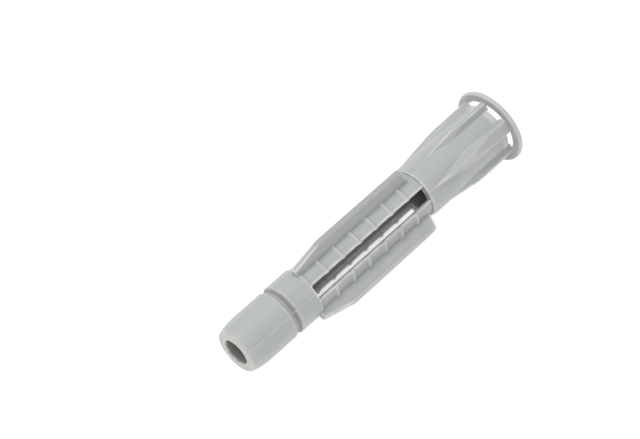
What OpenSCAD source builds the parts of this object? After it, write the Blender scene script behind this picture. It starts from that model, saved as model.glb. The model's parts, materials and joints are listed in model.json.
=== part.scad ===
// Universal wall plug for an 8 mm hole, moulded in one piece: a thin stop rim on
// short bridges, a fluted head, a slotted expansion zone with three fins, a
// collar, a notch and a round nose. It lies on its side as on a table.
// The plug is built along its own axis, mouth at 0 and nose upward, and then laid down.

/* [Overall] */
// length from the front of the rim to the end of the nose, mm
plug_len = 51; // [48:1:60]
// diameter of the head and of the hole in the wall, mm
head_d = 8; // [7.8:0.1:8.3]
// turn of the plug about its own axis as it lies, degrees; at 60 one fin points up
roll = 46.25; // [46.25:0.25:73.75]

/* [Rim] */
// diameter of the stop rim, mm
rim_d = 11.6; // [11:0.1:13]
// thickness of the stop rim, mm
rim_t = 0.7; // [0.6:0.1:1.2]
// opening in the stop rim, mm
rim_open_d = 8.8; // [8.5:0.1:9]
// rounding of the rim's edges, mm
rim_edge = 0.22; // [0.1:0.01:0.25]
// open gap between the rim and the end of the head, mm
gap = 0.42; // [0.3:0.01:0.8]

/* [Head] */
// diameter over the broad flutes beside the rim, mm
crest_d = 9.8; // [9.4:0.1:10]
// how much lower the narrow flutes are, mm
narrow_drop = 0.12; // [0:0.02:0.2]
// distance from the rim's front to the shoulder, mm
shoulder_x = 16.4; // [15.5:0.1:18]
// length of the rounding before the shoulder, mm
shoulder_run = 1.2; // [0.8:0.1:1.6]
// drop of the rounding before the shoulder, mm
shoulder_drop = 0.2; // [0.15:0.01:0.3]
// distance at which the flutes begin to narrow, mm
flute_full_x = 7.8; // [6:0.1:9]
// distance of the points of the broad flutes, mm
broad_point_x = 16; // [14:0.1:16]
// distance of the points of the narrow flutes, mm
narrow_point_x = 13.2; // [11:0.1:14]
// width of the broad flutes at the root, mm
broad_w = 2.6; // [2.2:0.1:2.8]
// width of the narrow flutes at the root, mm
narrow_w = 1.6; // [1.4:0.1:1.8]
// slope of each flute's side, mm across from root to crest
flute_lean = 0.5; // [0.2:0.05:0.6]
// height of each flute's ridge above its flat crest where the flute begins to narrow, mm
ridge_up = 0.16; // [0.08:0.02:0.3]

/* [Expansion zone] */
// diameter of the collar, mm
tube_d = 7.5; // [7.4:0.1:7.6]
// depth of the panels below the collar, mm
panel_dip = 0.24; // [0.12:0.02:0.26]
// height of the cross ribs above the collar, mm
rib_proud = 0.04; // [0:0.01:0.08]
// length of the slots, mm
slot_len = 22; // [20:0.5:24]
// width of the slots, mm
slot_w = 2.1; // [1.6:0.1:2.3]
// number of cross ribs on a panel
rib_count = 7; // [5:1:8]
// distance from the shoulder to the first cross rib, mm
rib_first = 3.1; // [2:0.05:3.5]
// width of a cross rib at its root, mm
rib_w = 1; // [0.7:0.05:1.2]
// radius of the rounded back of a cross rib, mm
rib_back = 0.2; // [0.12:0.02:0.26]

/* [Fins] */
// distance of the fin's outer edge from the axis, mm
fin_r = 5.72; // [5.2:0.02:5.76]
// thickness of a fin at its root, mm
fin_t = 1.1; // [0.8:0.05:1.2]
// thickness of a fin at its outer edge, mm
fin_edge_t = 0.84; // [0.6:0.02:0.9]
// distance from the shoulder to the root of the fin, mm
fin_start = 0.75; // [0.6:0.05:1.4]
// how far the fin's front edge leans toward the nose, mm
fin_lean = 0.6; // [0:0.05:0.8]
// length of the fin's straight outer edge, mm
fin_straight = 16.2; // [14:0.1:16.4]
// height left at the nose end of the fin, mm
fin_step = 0.8; // [0.3:0.05:0.9]
// rounding of the fin's corner beside the head, mm
fin_corner = 0.45; // [0.2:0.05:0.7]

/* [Collar and nose] */
// length of the collar before the notch, mm
collar_len = 3.65; // [3:0.05:4]
// width of the notch, mm
notch_w = 1.2; // [0.8:0.05:1.3]
// width of the notch's floor, mm
notch_floor = 0.4; // [0.2:0.05:0.6]
// depth of the notch, mm
notch_deep = 0.44; // [0.2:0.02:0.5]
// diameter of the nose, mm
nose_d = 7.4; // [7.3:0.1:7.5]
// length of the curved end of the nose, mm
nose_run = 3.2; // [2.5:0.1:4]
// drop of the curved end of the nose, mm
nose_drop = 0.34; // [0.2:0.01:0.5]
// rounding around the end of the nose, mm
nose_edge = 0.4; // [0.2:0.05:0.5]
// width of the moulding seam along the collar and the nose, mm
seam_w = 0.14; // [0.08:0.02:0.3]
// height of the moulding seam, mm
seam_h = 0.04; // [0.02:0.01:0.08]

/* [Bore] */
// diameter of the entry of the bore, mm
entry_d = 7.3; // [7:0.1:7.4]
// depth of the entry behind the end of the head, mm
entry_deep = 0.9; // [0.6:0.1:1.5]
// diameter of the screw bore, mm
bore_d = 5.4; // [5.2:0.1:5.9]
// diameter of the hole through the nose, mm
hole_d = 3.9; // [3.5:0.1:4.2]
// length of the cone between the bore and the hole, mm
cone_len = 2.4; // [2:0.1:3.3]

/* [Hidden] */
$fn = 72;
eps = 0.02;
col = [0.69, 0.71, 0.72];
rim_r = rim_d / 2;
head_r = head_d / 2;
broad_r = crest_d / 2;
narrow_r = broad_r - narrow_drop;
tube_r = tube_d / 2;
rib_r = tube_r + rib_proud;
nose_r = nose_d / 2;
panel_r = tube_r - panel_dip;
front_x = rim_t + gap;
slot_end = shoulder_x + slot_len;
rib_pitch = (slot_len - rib_first) / (rib_count - 1);
notch_x = slot_end + collar_len + notch_w / 2;
run_x = plug_len - nose_run;
run_h = nose_run - nose_edge;
// radii of the two long roundings, from their length and drop
shoulder_r = (shoulder_run * shoulder_run + shoulder_drop * shoulder_drop) / (2 * shoulder_drop);
nose_arc = (run_h * run_h + nose_drop * nose_drop) / (2 * nose_drop);
tip_r = nose_r - nose_drop;
fin_x = shoulder_x + fin_start;
fin_bend = fin_x + fin_lean + fin_straight;
fin_end = slot_end + 0.45;
// the plug rests on the nose-side edge of the rim and on the curved end of the nose
rest_a = [rim_t - rim_edge, rim_r - rim_edge];
rest_b = [run_x, nose_r - nose_arc];
rest_run = rest_b[0] - rest_a[0];
rest_drop = rest_a[1] - rest_b[1];
rest_span = sqrt(rest_run * rest_run + rest_drop * rest_drop);
tilt = atan2(rest_drop, rest_run) - asin((nose_arc - rim_edge) / rest_span);
table_d = rest_a[0] * sin(tilt) + rest_a[1] * cos(tilt) + rim_edge;
// the origin is under the middle of the plug's whole length
rim_side = (rest_a[1] * sin(tilt) - rim_edge * cos(tilt)) + rim_edge;
nose_side = (plug_len - nose_edge) * cos(tilt) + (tip_r - nose_edge) * sin(tilt) + nose_edge;
mid_x = (nose_side - rim_side) / 2;

module ring_profile(r_in, r_out, x0, x1) {
    translate([r_in, x0])
        square([r_out - r_in, x1 - x0]);
}

// section of the rim with both outer edges rounded
module rim_profile() {
    ring_profile(rim_open_d / 2, rim_r - rim_edge, 0, rim_t);
    ring_profile(rim_open_d / 2, rim_r, rim_edge, rim_t - rim_edge);
    for (x = [rim_edge, rim_t - rim_edge])
        translate([rim_r - rim_edge, x])
            circle(r = rim_edge);
}

// outer section of the head, rounded down to the shoulder
module head_profile() {
    ring_profile(0, head_r, front_x, shoulder_x - shoulder_run);
    intersection() {
        ring_profile(0, head_r, shoulder_x - shoulder_run - eps, shoulder_x);
        translate([head_r - shoulder_r, shoulder_x - shoulder_run])
            circle(r = shoulder_r, $fn = 180);
    }
}

// outer section from the neck to the end of the nose
module tube_profile() {
    ring_profile(0, panel_r, shoulder_x - eps, slot_end);
    difference() {
        union() {
            ring_profile(0, tube_r, slot_end, notch_x);
            ring_profile(0, nose_r, notch_x - eps, run_x);
        }
        translate([tube_r, notch_x])
            polygon([
                [-notch_deep, -notch_floor / 2],
                [0.1, -notch_w / 2 - 0.1],
                [0.1, notch_w / 2 + 0.1],
                [-notch_deep, notch_floor / 2]
            ]);
    }
    intersection() {
        ring_profile(0, nose_r, run_x - eps, plug_len - nose_edge);
        translate([nose_r - nose_arc, run_x])
            circle(r = nose_arc, $fn = 720);
    }
    ring_profile(0, tip_r - nose_edge, plug_len - nose_edge - eps, plug_len);
    translate([tip_r - nose_edge, plug_len - nose_edge])
        circle(r = nose_edge);
}

// section of the cross ribs, with sloped sides and a rounded back
module cross_rib_profile() {
    rise = rib_r - rib_back - panel_r;
    turn = atan2(rise, rib_w / 2) + asin(rib_back / sqrt(rise * rise + rib_w * rib_w / 4));
    for (i = [0 : rib_count - 1])
        translate([0, shoulder_x + rib_first + i * rib_pitch]) {
            polygon([
                [panel_r - 0.2, -rib_w / 2],
                [panel_r, -rib_w / 2],
                [rib_r - rib_back + rib_back * cos(turn), -rib_back * sin(turn)],
                [rib_r - rib_back + rib_back * cos(turn), rib_back * sin(turn)],
                [panel_r, rib_w / 2],
                [panel_r - 0.2, rib_w / 2]
            ]);
            translate([rib_r - rib_back, 0])
                circle(r = rib_back);
        }
}

// section of the bore: entry, funnel, screw bore, cone and hole
module bore_profile() {
    funnel = (entry_d - bore_d) / 2;
    x1 = front_x + entry_deep;
    polygon([
        [0, -1],
        [rim_open_d / 2, -1],
        [rim_open_d / 2, rim_t],
        [entry_d / 2 + 0.12, rim_t],
        [entry_d / 2 + 0.12, front_x],
        [entry_d / 2, front_x + 0.15],
        [entry_d / 2, x1],
        [bore_d / 2, x1 + funnel],
        [bore_d / 2, slot_end - 0.4],
        [hole_d / 2, slot_end - 0.4 + cone_len],
        [hole_d / 2, plug_len - 0.15],
        [hole_d / 2 + 0.15, plug_len],
        [hole_d / 2 + 0.15, plug_len + 1],
        [0, plug_len + 1]
    ]);
}

// one flute: sloped sides, a round crest, and a roof whose ridge runs down to the point
module flute(w, point_x, crest_r) {
    root_r = head_r - 0.25;
    end_r = head_r - eps;
    fall = (crest_r + ridge_up - end_r) / (point_x - flute_full_x);
    spread = w / 2 / (crest_r + ridge_up - head_r + 0.1);
    intersection() {
        translate([0, 0, rim_t - eps])
            linear_extrude(height = point_x - rim_t + eps)
                polygon([
                    [root_r, -w / 2],
                    [crest_r + 0.2, -w / 2 + flute_lean],
                    [crest_r + 0.2, w / 2 - flute_lean],
                    [root_r, w / 2]
                ]);
        translate([end_r, 0, point_x])
            rotate([0, -atan(fall), 0])
                translate([0, 0, -point_x - 1])
                    linear_extrude(height = point_x + 2)
                        polygon([
                            [0, 0],
                            [-3, -3 * spread],
                            [-3, 3 * spread]
                        ]);
        flute_envelope(point_x, crest_r, end_r);
    }
}

// crest of a flute: a cylinder beside the rim, then a cone down to the head
module flute_envelope(point_x, crest_r, end_r) {
    rotate_extrude()
        polygon([
            [0, 0],
            [crest_r, 0],
            [crest_r, flute_full_x],
            [end_r, point_x],
            [0, point_x]
        ]);
}

// one fin: a plate that grows thinner outward, with a leaning front edge, a rounded
// corner beside the head and a long slope at the nose
module fin() {
    root_r = panel_r - 0.4;
    grow = (fin_t - fin_edge_t) / (fin_r - panel_r) / 2;
    intersection() {
        translate([0, fin_t, 0])
            rotate([90, 0, 0])
                linear_extrude(height = 2 * fin_t)
                    fin_outline(root_r);
        linear_extrude(height = plug_len)
            polygon([
                [root_r, -fin_t / 2 - 0.4 * grow],
                [fin_r + 0.1, -fin_edge_t / 2 + 0.1 * grow],
                [fin_r + 0.1, fin_edge_t / 2 - 0.1 * grow],
                [root_r, fin_t / 2 + 0.4 * grow]
            ]);
    }
}

// side view of a fin
module fin_outline(root_r) {
    corner_r = fin_r - fin_corner;
    corner_x = fin_x + fin_lean + fin_corner;
    up = corner_r - panel_r;
    back = corner_x - fin_x;
    lean = acos(fin_corner / sqrt(up * up + back * back)) - atan2(up, back);
    polygon([
        [root_r, fin_x],
        [panel_r, fin_x],
        [corner_r + fin_corner * sin(lean), corner_x - fin_corner * cos(lean)],
        [corner_r, corner_x],
        [fin_r, corner_x],
        [fin_r, fin_bend],
        [tube_r + fin_step, fin_end],
        [root_r, fin_end]
    ]);
    translate([corner_r, corner_x])
        circle(r = fin_corner);
}

// moulding seam: a thin raised line along the collar, the notch and the nose
module seam() {
    intersection() {
        translate([0, -seam_w / 2, slot_end])
            cube([tube_r + 1, seam_w, plug_len - nose_edge / 2 - slot_end]);
        rotate_extrude()
            translate([seam_h, 0])
                tube_profile();
    }
}

// the whole moulding on its own axis, one slot toward +x
module upright_plug() {
    difference() {
        union() {
            rotate_extrude()
                rim_profile();
            rotate_extrude() {
                head_profile();
                tube_profile();
                cross_rib_profile();
            }
            for (a = [0, 120, 240]) {
                rotate([0, 0, a])
                    flute(broad_w, broad_point_x, broad_r);
                rotate([0, 0, a + 60])
                    flute(narrow_w, narrow_point_x, narrow_r);
                rotate([0, 0, a + 60])
                    fin();
            }
            seam();
        }
        rotate_extrude()
            bore_profile();
        for (a = [0, 120, 240])
            rotate([0, 0, a])
                translate([0, -slot_w / 2, shoulder_x])
                    cube([tube_r + 1, slot_w, slot_len]);
    }
}

module wall_plug() {
    color(col)
        translate([mid_x, 0, table_d])
            rotate([0, -90 - tilt, 0])
                rotate([0, 0, -roll])
                    upright_plug();
}

wall_plug();
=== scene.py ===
import bpy
import json
import math
from mathutils import Matrix, Vector

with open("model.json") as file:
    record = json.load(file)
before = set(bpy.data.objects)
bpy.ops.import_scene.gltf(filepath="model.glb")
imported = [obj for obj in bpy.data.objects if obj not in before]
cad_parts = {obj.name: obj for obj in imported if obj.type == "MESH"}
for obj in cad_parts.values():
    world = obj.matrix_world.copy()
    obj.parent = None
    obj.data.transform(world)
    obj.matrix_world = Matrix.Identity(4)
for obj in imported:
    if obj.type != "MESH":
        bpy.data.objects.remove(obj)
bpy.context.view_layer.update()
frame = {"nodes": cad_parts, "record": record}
print("frame loaded:", ", ".join(sorted(frame["nodes"])))

mm = 0.001

# the screw bore gives the plug's own axis, which the marks in the plastic follow
mounts = {m["name"]: m for m in frame["record"]["mounts"]}
bore = mounts["screw_bore"]
plugAxis = Vector(bore["axis"])         # from the nose to the rim
plugMiddle = Vector(bore["pos_m"])      # the middle of the screw bore
plugTurn = plugAxis.to_track_quat("X", "Z").to_euler()
boreWide = bore["dims"]["r_mm"] * mm
boreEnd = -bore["dims"]["length_mm"] * mm / 2     # towards the nose


# where a mount's middle is along the axis, counted from the middle of the screw bore
def alongAxis(mount):
    return (Vector(mount["pos_m"]) - plugMiddle).dot(plugAxis)


hole = mounts["nose_bore"]
holeWide = hole["dims"]["r_mm"] * mm
noseFace = alongAxis(hole) - hole["dims"]["length_mm"] * mm / 2     # the flat end of the nose
rimBack = alongAxis(mounts["rim_seat"])


# the camera: its place, where it looks and how far it leans over
cameraSet = {
    "place": (-120.90 * mm, -108.08 * mm, 216.51 * mm),
    "azimuth": -45.876,     # degrees, 0 looks along +Y
    "elevation": 52.149,    # degrees above the floor
    "lean": -0.671,         # degrees about the line of sight
    "lens": 110.9,          # millimetres, on a sensor of the width below
    "sensor": 36.0,
    "seesFrom": 0.01,       # metres
    "seesTo": 20.0,
}


def makeCamera(c):
    data = bpy.data.cameras.new("camera")
    data.lens = c["lens"]
    data.sensor_width = c["sensor"]
    data.clip_start = c["seesFrom"]
    data.clip_end = c["seesTo"]
    camera = bpy.data.objects.new("camera", data)
    bpy.context.scene.collection.objects.link(camera)
    a, e = math.radians(c["azimuth"]), math.radians(c["elevation"])
    sight = Vector((-math.sin(a) * math.cos(e), math.cos(a) * math.cos(e), -math.sin(e)))
    level = Vector((math.cos(a), math.sin(a), 0.0))
    upright = level.cross(sight)
    lean = math.radians(c["lean"])
    right = level * math.cos(lean) + upright * math.sin(lean)
    top = right.cross(sight)
    turn = Matrix((right, top, -sight)).transposed().to_4x4()
    camera.matrix_world = Matrix.Translation(c["place"]) @ turn
    bpy.context.scene.camera = camera
    print("camera placed")


# soft light: a bright white room and three panels, the strongest almost straight above the plug
lightSet = {
    "room": (1.0, 1.0, 1.0),
    "roomPower": 0.73,
    "panels": [
        # name, direction from the plug, distance, width, power in watts
        ("panelAbove", (-0.11, 0.30, 0.95), 0.55, 0.36, 1.9),
        ("panelNose", (-0.95, -0.10, 0.45), 0.60, 0.25, 0.20),
        ("panelFront", (-0.44, -0.43, 0.79), 0.60, 0.30, 0.45),
    ],
}


def makeLights(c):
    world = bpy.data.worlds.new("room")
    world.use_nodes = True
    background = world.node_tree.nodes["Background"]
    background.inputs["Color"].default_value = (*c["room"], 1)
    background.inputs["Strength"].default_value = c["roomPower"]
    bpy.context.scene.world = world
    for name, way, distance, width, power in c["panels"]:
        data = bpy.data.lights.new(name, "AREA")
        data.shape = "DISK"
        data.size = width
        data.energy = power
        light = bpy.data.objects.new(name, data)
        bpy.context.scene.collection.objects.link(light)
        back = Vector(way).normalized()
        turn = back.to_track_quat("Z", "Y").to_matrix().to_4x4()
        light.matrix_world = Matrix.Translation(back * distance) @ turn
    print("lights placed:", 1 + len(c["panels"]))


# node helpers: values and links are given by the input's name or number
def addNode(tree, kind, values=None, links=None, **settings):
    node = tree.nodes.new(kind)
    for key, value in settings.items():
        setattr(node, key, value)
    for name, value in (values or {}).items():
        node.inputs[name].default_value = value
    for name, source in (links or {}).items():
        tree.links.new(source, node.inputs[name])
    return node


# a place in the plug's own directions, its axis first, counted in the given lengths
def addOwnPlace(tree, along=1.0, across=1.0):
    spot = addNode(tree, "ShaderNodeTexCoord").outputs["Object"]
    return addNode(tree, "ShaderNodeMapping", vector_type="TEXTURE", links={"Vector": spot}, values={
        "Location": plugMiddle, "Rotation": plugTurn, "Scale": (along, across, across)}).outputs["Vector"]


# a noise whose lumps have the given lengths along and across the plug
def addLumps(tree, along, across, detail, seed, rough=0.5):
    own = addOwnPlace(tree, along, across)
    lumps = addNode(tree, "ShaderNodeTexNoise", noise_dimensions="4D", links={"Vector": own}, values={
        "W": seed, "Scale": 1.0, "Detail": detail, "Roughness": rough})
    return lumps.outputs["Fac"]


# a place as two values: how far along the plug's axis it is, and how far from the axis
def addReach(tree):
    own = addOwnPlace(tree)
    along = addNode(tree, "ShaderNodeSeparateXYZ", links={"Vector": own}).outputs["X"]
    across = addNode(tree, "ShaderNodeVectorMath", operation="MULTIPLY", links={0: own}, values={
        1: (0.0, 1.0, 1.0)}).outputs["Vector"]
    far = addNode(tree, "ShaderNodeVectorMath", operation="LENGTH", links={0: across}).outputs["Value"]
    return along, far


# takes a value from one range to another and keeps it inside
def addSpread(tree, source, fromLow, fromHigh, toLow, toHigh):
    return addNode(tree, "ShaderNodeMapRange", links={"Value": source}, values={
        "From Min": fromLow, "From Max": fromHigh, "To Min": toLow, "To Max": toHigh}).outputs["Result"]


# fills a node's inputs by number; each part is a number, a colour or another node's output
def fillInputs(tree, node, parts):
    for slot, part in parts.items():
        if isinstance(part, tuple):
            node.inputs[slot].default_value = (*part, 1)
        elif isinstance(part, float):
            node.inputs[slot].default_value = part
        else:
            tree.links.new(part, node.inputs[slot])


# goes from the first colour to the second
def addBlend(tree, factor, first, second, way="MIX"):
    node = addNode(tree, "ShaderNodeMix", data_type="RGBA", blend_type=way)
    fillInputs(tree, node, {0: factor, 6: first, 7: second})
    return node.outputs[2]


# adds two values, or does another sum with them
def addSum(tree, first, second, way="ADD"):
    node = addNode(tree, "ShaderNodeMath", operation=way)
    fillInputs(tree, node, {0: first, 1: second})
    return node.outputs[0]


floorSet = {
    "half": 1.2,                # half the width of the table top, metres
    "colour": (0.95, 0.95, 0.95),
    "rough": 0.9,
    "shine": 0.1,
    "glowColour": (1.0, 1.0, 1.0),
    "glow": 0.47,
}


# a plain pale table top with a glow of its own, which keeps it white beside the plug
def makeFloor(c):
    h = c["half"]
    mesh = bpy.data.meshes.new("floor")
    mesh.from_pydata([(-h, -h, 0), (h, -h, 0), (h, h, 0), (-h, h, 0)], [], [(0, 1, 2, 3)])
    floor = bpy.data.objects.new("floor", mesh)
    bpy.context.scene.collection.objects.link(floor)
    material = bpy.data.materials.new("paleFloor")
    material.use_nodes = True
    shader = material.node_tree.nodes["Principled BSDF"]
    shader.inputs["Base Color"].default_value = (*c["colour"], 1)
    shader.inputs["Roughness"].default_value = c["rough"]
    shader.inputs["Specular IOR Level"].default_value = c["shine"]
    shader.inputs["Emission Color"].default_value = (*c["glowColour"], 1)
    shader.inputs["Emission Strength"].default_value = c["glow"]
    mesh.materials.append(material)
    print("floor laid")


# satin moulded plastic; each span says where a mark begins and where it is full
plasticSet = {
    # clouds in the grey
    "grey": (0.350, 0.363, 0.360),
    "deepGrey": (0.330, 0.344, 0.341),
    "cloudLong": 6.0 * mm,      # along the plug
    "cloudShape": 0.6,          # width as a share of the length
    "cloudDetail": 3.0,
    "cloudSeed": 2.0,
    "cloudSpan": (0.35, 0.65),

    # flow marks along the plug
    "flowLong": 9.0 * mm,
    "flowWide": 0.9 * mm,
    "flowDetail": 2.0,
    "flowSeed": 5.0,
    "flowSpan": (0.3, 0.7),
    "flowShare": 0.035,         # how strongly they lighten and darken

    # specks
    "speck": (0.24, 0.25, 0.245),
    "speckApart": 1.7 * mm,
    "speckWide": 0.07,          # share of the distance between specks
    "speckCore": 0.6,           # share of its width with its full tone
    "speckShare": 0.45,

    # painted shade in the notch
    "notchShadeTone": (0.17, 0.172, 0.168),
    "notchPlace": 8.50 * mm,    # from the flat end of the nose
    "notchHalf": 0.18 * mm,
    "notchFade": 0.28 * mm,
    "notchShadeShare": 0.65,

    # the pale end of the nose
    "endTone": (0.350, 0.347, 0.326),
    "endReach": 0.45 * mm,
    "endShare": 0.8,

    # painted shade in the bore, the hole in the nose and the cut faces of the slots
    "boreShadeTone": (0.112, 0.098, 0.083),
    "boreShadeShare": 0.52,
    "boreSkin": 0.62 * mm,      # how far past the bore's wall its tone reaches
    "holeSkin": 0.10 * mm,      # the same at the hole in the nose
    "skinFade": 0.10 * mm,
    "stepFrom": 1.0 * mm,       # beyond the end of the bore, where the hole gives way to it
    "stepTo": 0.8 * mm,

    # the fins, at distances from the axis; their deeper tone is painted shade
    "finShadeTone": (0.300, 0.311, 0.308),
    "finSpan": (4.60 * mm, 5.60 * mm),
    "stripSpan": (5.55 * mm, 5.70 * mm),
    "stripRub": 0.1,            # share of the rubbing that their outer strips get

    # the rim, cool inside and warm at its lip
    "rimCool": (0.325, 0.336, 0.352),
    "rimWarm": (0.425, 0.409, 0.382),
    "lipSpan": (5.40 * mm, 5.72 * mm),      # distances from the axis
    "rimFrom": 0.25 * mm,       # before the back of the rim
    "rimTo": 0.05 * mm,

    # painted shade in inner corners
    "cornerShade": (0.215, 0.217, 0.210),
    "cornerShadeReach": 0.25 * mm,    # how far from a corner it lies
    "cornerShadeSpan": (0.85, 0.30),  # open share in front of the surface
    "cornerShadeShare": 0.38,

    # worn edges and rib tops, in patches: paler, partly wear and partly painted highlight
    "wearAndHighlight": (0.500, 0.510, 0.503),
    "edge": 0.40 * mm,          # their width
    "edgeSpan": (0.98, 0.76),   # filled share behind the surface
    "patchLong": 1.4 * mm,
    "patchWide": 0.9 * mm,
    "patchDetail": 2.0,
    "patchSeed": 9.0,
    "patchSpan": (0.35, 0.6),
    "patchLeast": 0.45,

    # gloss, the softness of the sharp edges and the mould's fine grain
    "shine": 0.22,
    "roughLow": 0.42,
    "roughHigh": 0.56,
    "roughEdge": 0.10,          # added on the rubbed edges
    "soft": 0.05 * mm,
    "grain": 0.16 * mm,
    "grainHigh": 0.007 * mm,
    "grainDetail": 2.0,
    "grainRough": 0.6,
    "rays": 8,                  # sent out by each node that feels for corners and edges
}


def makePlastic(c):
    material = bpy.data.materials.new("plugPlastic")
    material.use_nodes = True
    tree = material.node_tree
    shader = tree.nodes["Principled BSDF"]
    spot = addNode(tree, "ShaderNodeTexCoord").outputs["Object"]
    along, far = addReach(tree)

    # colour: clouds, with flow marks and specks over them
    clouds = addLumps(tree, c["cloudLong"], c["cloudLong"] * c["cloudShape"], c["cloudDetail"], c["cloudSeed"])
    tone = addBlend(tree, addSpread(tree, clouds, *c["cloudSpan"], 0.0, 1.0), c["grey"], c["deepGrey"])
    flow = addLumps(tree, c["flowLong"], c["flowWide"], c["flowDetail"], c["flowSeed"])
    share = addSpread(tree, flow, *c["flowSpan"], 1.0 - c["flowShare"], 1.0 + c["flowShare"])
    shares = addNode(tree, "ShaderNodeCombineColor", links={"Red": share, "Green": share, "Blue": share})
    tone = addBlend(tree, 1.0, tone, shares.outputs["Color"], "MULTIPLY")
    cells = addNode(tree, "ShaderNodeTexVoronoi", links={"Vector": spot}, values={
        "Scale": 1.0 / c["speckApart"], "Randomness": 1.0}).outputs["Distance"]
    specks = addSpread(tree, cells, c["speckWide"] * c["speckCore"], c["speckWide"], c["speckShare"], 0.0)
    tone = addBlend(tree, specks, tone, c["speck"])

    # painted shade darkens the notch, and the end of the nose is worn pale
    offNotch = addSum(tree, addSum(tree, along, noseFace + c["notchPlace"], "SUBTRACT"), 0.0, "ABSOLUTE")
    notchEdge = c["notchHalf"] + c["notchFade"]
    notchShade = addSpread(tree, offNotch, c["notchHalf"], notchEdge, c["notchShadeShare"], 0.0)
    tone = addBlend(tree, notchShade, tone, c["notchShadeTone"])
    atEnd = addSpread(tree, along, noseFace, noseFace + c["endReach"], c["endShare"], 0.0)
    tone = addBlend(tree, atEnd, tone, c["endTone"])

    # the bore, the hole and the cut faces of the slots get painted shade: a deep brownish tone
    limit = addSpread(tree, along, boreEnd - c["stepFrom"], boreEnd - c["stepTo"],
                      holeWide + c["holeSkin"], boreWide + c["boreSkin"])
    inner = addSpread(tree, addSum(tree, far, limit, "SUBTRACT"), 0.0, c["skinFade"], c["boreShadeShare"], 0.0)
    tone = addBlend(tree, inner, tone, c["boreShadeTone"])

    # painted shade deepens the fins towards their outer strips, and the rim has tones of its own
    tone = addBlend(tree, addSpread(tree, far, *c["finSpan"], 0.0, 1.0), tone, c["finShadeTone"])
    rimTone = addBlend(tree, addSpread(tree, far, *c["lipSpan"], 0.0, 1.0), c["rimCool"], c["rimWarm"])
    atRim = addSpread(tree, along, rimBack - c["rimFrom"], rimBack - c["rimTo"], 0.0, 1.0)
    tone = addBlend(tree, atRim, tone, rimTone)

    # painted shade lies in inner corners, which see little of the room
    corner = addNode(tree, "ShaderNodeAmbientOcclusion", samples=c["rays"], values={
        "Distance": c["cornerShadeReach"]}).outputs["AO"]
    tone = addBlend(tree, addSpread(tree, corner, *c["cornerShadeSpan"], 0.0, c["cornerShadeShare"]), tone, c["cornerShade"])

    # edges and rib tops are paler where little plastic lies behind them: partly wear, partly painted highlight
    behind = addNode(tree, "ShaderNodeAmbientOcclusion", samples=c["rays"], inside=True, values={
        "Distance": c["edge"]}).outputs["AO"]
    edges = addSpread(tree, behind, *c["edgeSpan"], 0.0, 1.0)
    patches = addLumps(tree, c["patchLong"], c["patchWide"], c["patchDetail"], c["patchSeed"])
    patches = addSpread(tree, patches, *c["patchSpan"], c["patchLeast"], 1.0)
    spared = addSpread(tree, far, *c["stripSpan"], 1.0, c["stripRub"])
    wearAndHighlight = addSum(tree, edges, addSum(tree, patches, spared, "MULTIPLY"), "MULTIPLY")
    tone = addBlend(tree, wearAndHighlight, tone, c["wearAndHighlight"])
    tree.links.new(tone, shader.inputs["Base Color"])

    # gloss: duller along some flow marks and on the worn edges
    gloss = addSpread(tree, flow, *c["flowSpan"], c["roughLow"], c["roughHigh"])
    worn = addSum(tree, wearAndHighlight, c["roughEdge"], "MULTIPLY")
    tree.links.new(addSum(tree, gloss, worn), shader.inputs["Roughness"])
    shader.inputs["Specular IOR Level"].default_value = c["shine"]

    # the grain of the mould, over edges softened as by a worn tool
    soft = addNode(tree, "ShaderNodeBevel", samples=c["rays"], values={"Radius": c["soft"]}).outputs["Normal"]
    grain = addNode(tree, "ShaderNodeTexNoise", links={"Vector": spot}, values={
        "Scale": 1.0 / c["grain"], "Detail": c["grainDetail"], "Roughness": c["grainRough"]}).outputs["Fac"]
    bump = addNode(tree, "ShaderNodeBump", links={"Height": grain, "Normal": soft}, values={
        "Strength": 1.0, "Distance": c["grainHigh"]})
    tree.links.new(bump.outputs["Normal"], shader.inputs["Normal"])
    print("plastic mixed")
    return material


makeCamera(cameraSet)
makeLights(lightSet)
makeFloor(floorSet)
plastic = makePlastic(plasticSet)
for place in frame["nodes"]["wall_plug"].material_slots:
    place.material = plastic
bpy.context.scene.view_settings.view_transform = "Standard"

print("plug dressed")
